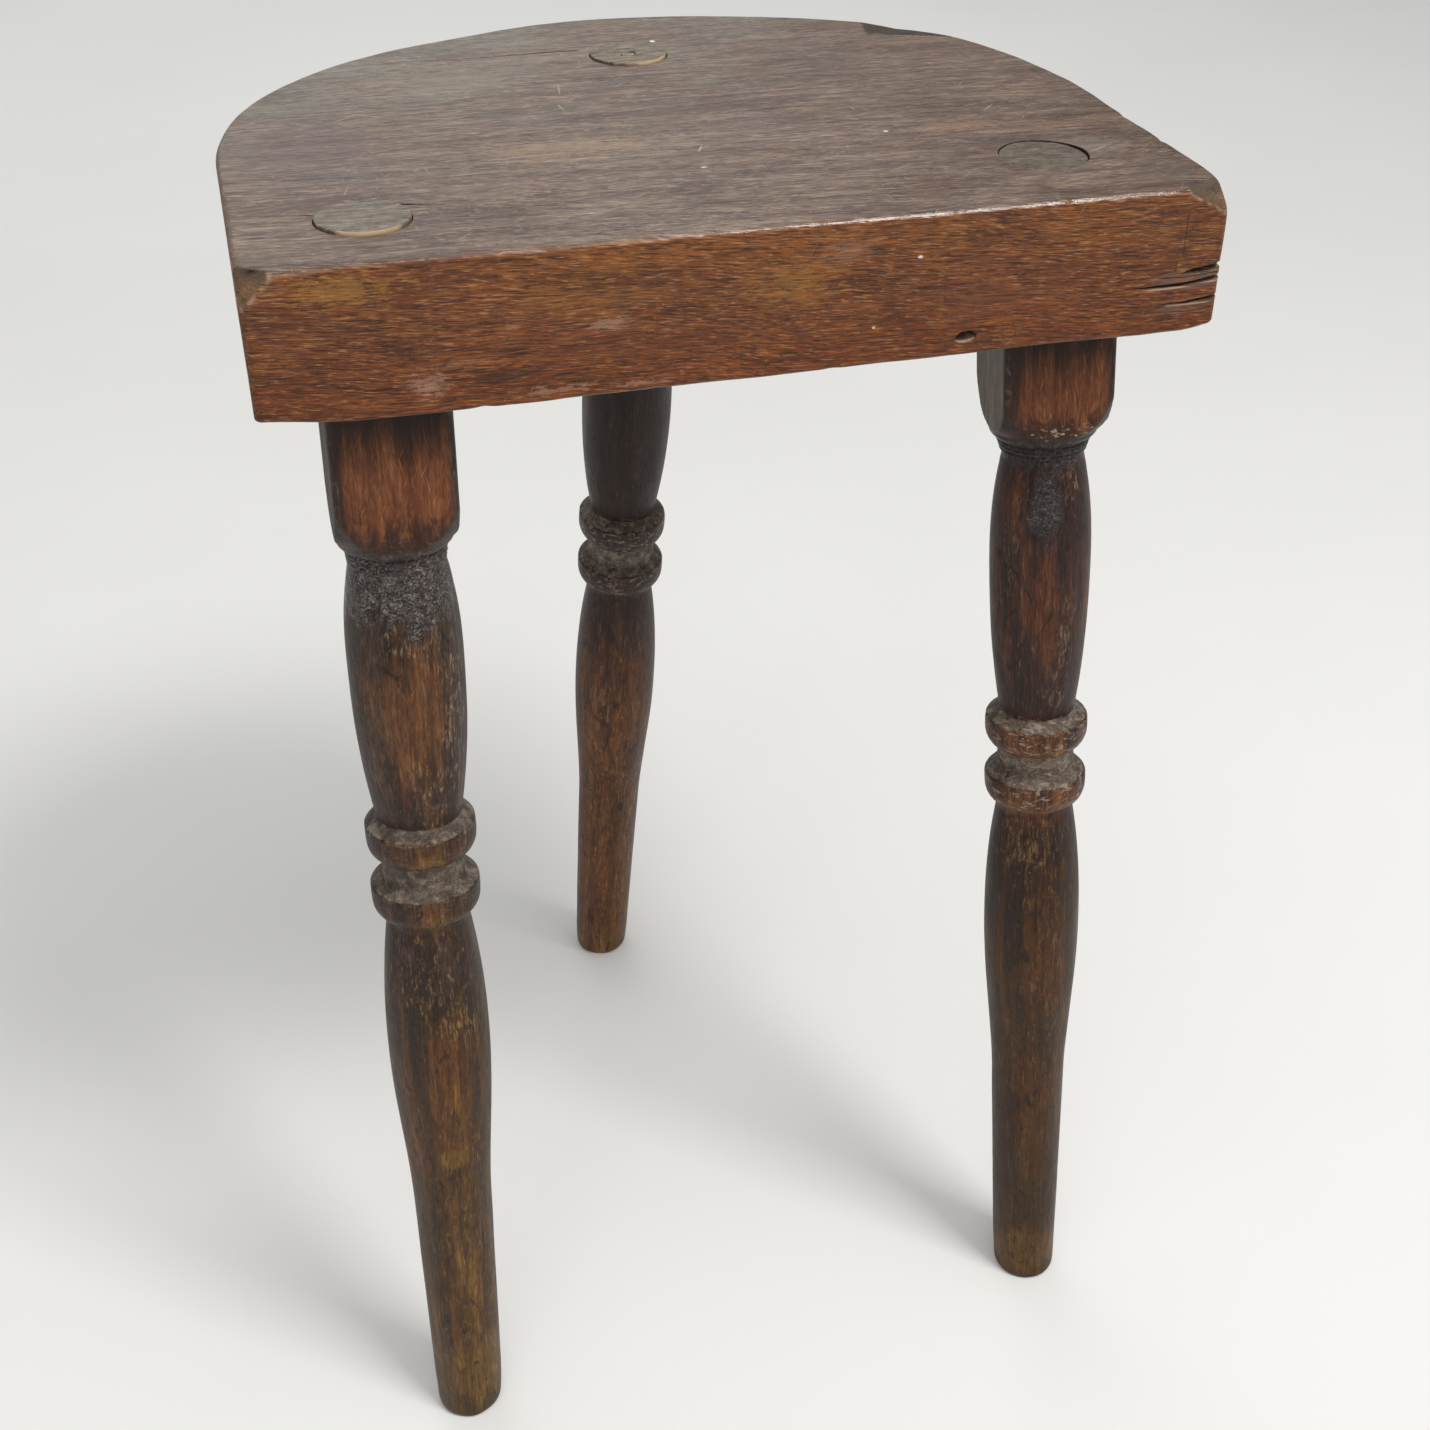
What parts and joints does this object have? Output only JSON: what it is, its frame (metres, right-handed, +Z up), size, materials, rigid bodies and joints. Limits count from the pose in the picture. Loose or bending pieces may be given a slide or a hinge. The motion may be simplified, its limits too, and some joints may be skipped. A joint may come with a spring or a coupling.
{
  "type": "wooden milking stool",
  "caption": "Three-legged wooden stool: D-shaped plank seat with a straight front edge, on turned, splayed legs whose round tenons show through the seat.",
  "frame": {"origin": "on the floor, under the middle of the stool's bounding box", "axes": "+Z up through the seat; -Y towards the seat's straight front edge; +X along that edge"},
  "size_m": [0.273, 0.2612, 0.4308],
  "materials": {
    "seat_wood": "worn old varnish, satin, flecked grain along the front edge",
    "leg_wood": "dark, crackled old varnish, worn through on the rings and feet",
    "nail_iron": "dark iron, worn bright on top"
  },
  "bodies": {
    "root": {"seat": "seat_wood", "leg_front_left": "leg_wood", "leg_front_right": "leg_wood", "leg_back": "leg_wood", "tenon_nail": "nail_iron"}
  },
  "joints": []
}
